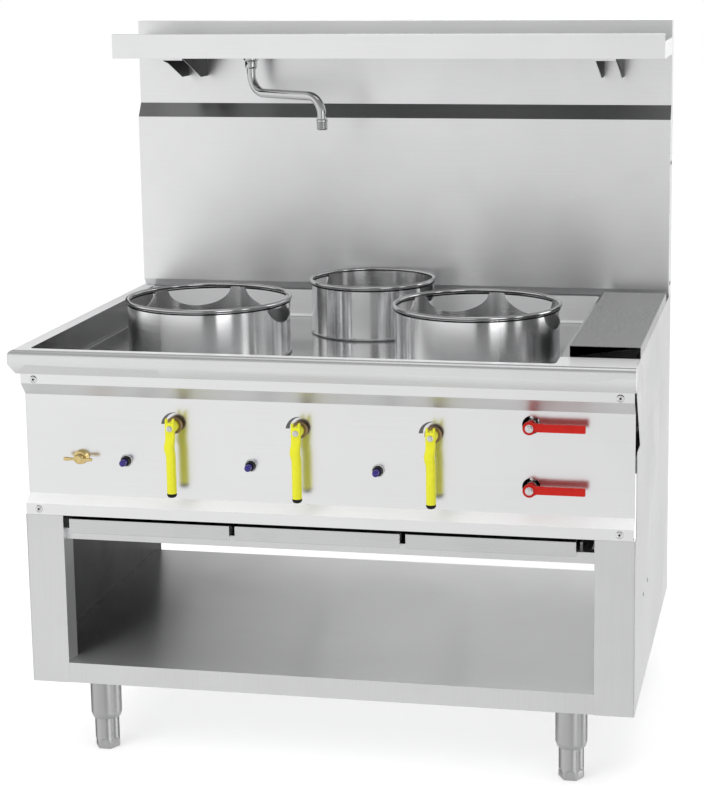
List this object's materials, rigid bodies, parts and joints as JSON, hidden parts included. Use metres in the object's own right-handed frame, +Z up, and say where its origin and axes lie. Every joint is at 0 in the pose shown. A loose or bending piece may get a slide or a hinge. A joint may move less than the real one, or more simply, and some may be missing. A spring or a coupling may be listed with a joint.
{
  "type": "wok range",
  "caption": "Stainless gas wok range with open burner rings in a water basin, lever controls, drip drawers, splashback with shelf and swivel tap, on legs.",
  "frame": {"origin": "on the floor, under the middle of the worktop", "axes": "+Z up, -Y towards the cook, +X to the right seen by the cook"},
  "size_m": [1.2516, 0.8697, 1.473],
  "materials": {
    "top_steel": "brushed stainless steel, polished nose",
    "side_steel": "brushed stainless sheet",
    "post_steel": "brushed stainless sheet, upright grain",
    "shelf_steel": "brushed stainless sheet",
    "inner_steel": "plain stainless sheet, in shade",
    "leg_steel": "drawn stainless tube",
    "foot_steel": "turned stainless",
    "splash_steel": "fine brushed stainless sheet",
    "panel_steel": "pale polished stainless sheet",
    "drawer_steel": "brushed stainless sheet",
    "ring_steel": "polished rolled stainless",
    "chrome": "polished chrome plate",
    "pipe_steel": "drawn pipe",
    "zinc": "zinc plate",
    "brass": "turned brass",
    "cast_iron": "bare cast iron",
    "yellow_grip": "dipped vinyl, yellow",
    "red_enamel": "red epoxy coat",
    "black_plastic": "moulded plug",
    "button_plastic": "moulded button, violet blue"
  },
  "bodies": {
    "root": {"worktop": "top_steel", "left_side_panel": "side_steel", "right_side_panel": "side_steel", "left_apron": "side_steel", "right_apron": "side_steel", "front_posts": "post_steel", "bottom_shelf": "shelf_steel", "drawer_rail": "inner_steel", "drawer_runners": "inner_steel", "rear_sheet": "side_steel", "burner_chambers": "inner_steel", "burners": "cast_iron", "pilot_burners": "brass", "leg_sleeves": "leg_steel", "splash_lower": "splash_steel", "splash_upper": "splash_steel", "wall_shelf": "splash_steel", "shelf_brackets": "inner_steel", "tap_body": "chrome", "control_panel": "panel_steel", "gas_manifold": "pipe_steel", "gas_valves": "brass", "feed_pipes": "pipe_steel", "water_valves": "zinc", "igniter_bezels": "zinc", "pilot_cock": "brass", "case_screws": "zinc", "gas_inlet": "pipe_steel", "water_inlet": "pipe_steel", "basin_drain": "pipe_steel"},
    "foot_front_left_body": {"foot_front_left": "foot_steel"},
    "foot_front_right_body": {"foot_front_right": "foot_steel"},
    "foot_back_left_body": {"foot_back_left": "foot_steel"},
    "foot_back_right_body": {"foot_back_right": "foot_steel"},
    "left_ring_body": {"left_ring": "ring_steel"},
    "centre_ring_body": {"centre_ring": "ring_steel"},
    "right_ring_body": {"right_ring": "ring_steel"},
    "deck_cover_body": {"deck_cover": "top_steel"},
    "left_gas_lever_body": {"left_gas_lever": "yellow_grip", "left_lever_cap": "black_plastic", "left_lever_nut": "zinc"},
    "centre_gas_lever_body": {"centre_gas_lever": "yellow_grip", "centre_lever_cap": "black_plastic", "centre_lever_nut": "zinc"},
    "right_gas_lever_body": {"right_gas_lever": "yellow_grip", "right_lever_cap": "black_plastic", "right_lever_nut": "zinc"},
    "upper_water_lever_body": {"upper_water_lever": "red_enamel", "upper_lever_nut": "zinc"},
    "lower_water_lever_body": {"lower_water_lever": "red_enamel", "lower_lever_nut": "zinc"},
    "cock_handle_body": {"cock_handle": "brass"},
    "left_igniter_body": {"left_igniter_button": "button_plastic"},
    "centre_igniter_body": {"centre_igniter_button": "button_plastic"},
    "right_igniter_body": {"right_igniter_button": "button_plastic"},
    "drip_drawer_1_body": {"drip_drawer_1": "drawer_steel"},
    "drip_drawer_2_body": {"drip_drawer_2": "drawer_steel"},
    "drip_drawer_3_body": {"drip_drawer_3": "drawer_steel"},
    "tap_spout_body": {"tap_spout": "chrome", "tap_aerator": "chrome"}
  },
  "joints": [
    {"name": "foot_front_left_screw", "type": "slide", "parent": "root", "child": "foot_front_left_body", "axis": [0, 0, -1], "range_m": [0, 0.05]},
    {"name": "foot_front_right_screw", "type": "slide", "parent": "root", "child": "foot_front_right_body", "axis": [0, 0, -1], "range_m": [0, 0.05]},
    {"name": "foot_back_left_screw", "type": "slide", "parent": "root", "child": "foot_back_left_body", "axis": [0, 0, -1], "range_m": [0, 0.05]},
    {"name": "foot_back_right_screw", "type": "slide", "parent": "root", "child": "foot_back_right_body", "axis": [0, 0, -1], "range_m": [0, 0.05]},
    {"name": "left_ring_lift", "type": "slide", "parent": "root", "child": "left_ring_body", "axis": [0, 0, 1], "range_m": [0, 0.15]},
    {"name": "centre_ring_lift", "type": "slide", "parent": "root", "child": "centre_ring_body", "axis": [0, 0, 1], "range_m": [0, 0.15]},
    {"name": "right_ring_lift", "type": "slide", "parent": "root", "child": "right_ring_body", "axis": [0, 0, 1], "range_m": [0, 0.15]},
    {"name": "deck_cover_lift", "type": "slide", "parent": "root", "child": "deck_cover_body", "axis": [0, 0, 1], "range_m": [0, 0.15]},
    {"name": "left_gas_lever_turn", "type": "hinge", "parent": "root", "child": "left_gas_lever_body", "pos_m": [-0.292, -0.42, 0.7065], "axis": [0, -1, 0], "range_deg": [0, 90]},
    {"name": "centre_gas_lever_turn", "type": "hinge", "parent": "root", "child": "centre_gas_lever_body", "pos_m": [-0.036, -0.42, 0.7065], "axis": [0, -1, 0], "range_deg": [0, 90]},
    {"name": "right_gas_lever_turn", "type": "hinge", "parent": "root", "child": "right_gas_lever_body", "pos_m": [0.231, -0.42, 0.7065], "axis": [0, -1, 0], "range_deg": [0, 90]},
    {"name": "upper_water_lever_turn", "type": "hinge", "parent": "root", "child": "upper_water_lever_body", "pos_m": [0.421, -0.409, 0.73], "axis": [0, 1, 0], "range_deg": [0, 90]},
    {"name": "lower_water_lever_turn", "type": "hinge", "parent": "root", "child": "lower_water_lever_body", "pos_m": [0.421, -0.409, 0.607], "axis": [0, 1, 0], "range_deg": [0, 90]},
    {"name": "cock_handle_turn", "type": "hinge", "parent": "root", "child": "cock_handle_body", "pos_m": [-0.493, -0.4, 0.632], "axis": [0, -1, 0], "range_deg": [0, 90]},
    {"name": "left_igniter_press", "type": "slide", "parent": "root", "child": "left_igniter_body", "axis": [0, 1, 0], "range_m": [0, 0.006], "stiffness_N_per_m": 400},
    {"name": "centre_igniter_press", "type": "slide", "parent": "root", "child": "centre_igniter_body", "axis": [0, 1, 0], "range_m": [0, 0.006], "stiffness_N_per_m": 400},
    {"name": "right_igniter_press", "type": "slide", "parent": "root", "child": "right_igniter_body", "axis": [0, 1, 0], "range_m": [0, 0.006], "stiffness_N_per_m": 400},
    {"name": "drip_drawer_1_slide", "type": "slide", "parent": "root", "child": "drip_drawer_1_body", "axis": [0, -1, 0], "range_m": [0, 0.5]},
    {"name": "drip_drawer_2_slide", "type": "slide", "parent": "root", "child": "drip_drawer_2_body", "axis": [0, -1, 0], "range_m": [0, 0.5]},
    {"name": "drip_drawer_3_slide", "type": "slide", "parent": "root", "child": "drip_drawer_3_body", "axis": [0, -1, 0], "range_m": [0, 0.5]},
    {"name": "tap_spout_swivel", "type": "hinge", "parent": "root", "child": "tap_spout_body", "pos_m": [-0.317, 0.31, 1.38], "axis": [0, 0, 1], "range_deg": [-150, 40]}
  ]
}
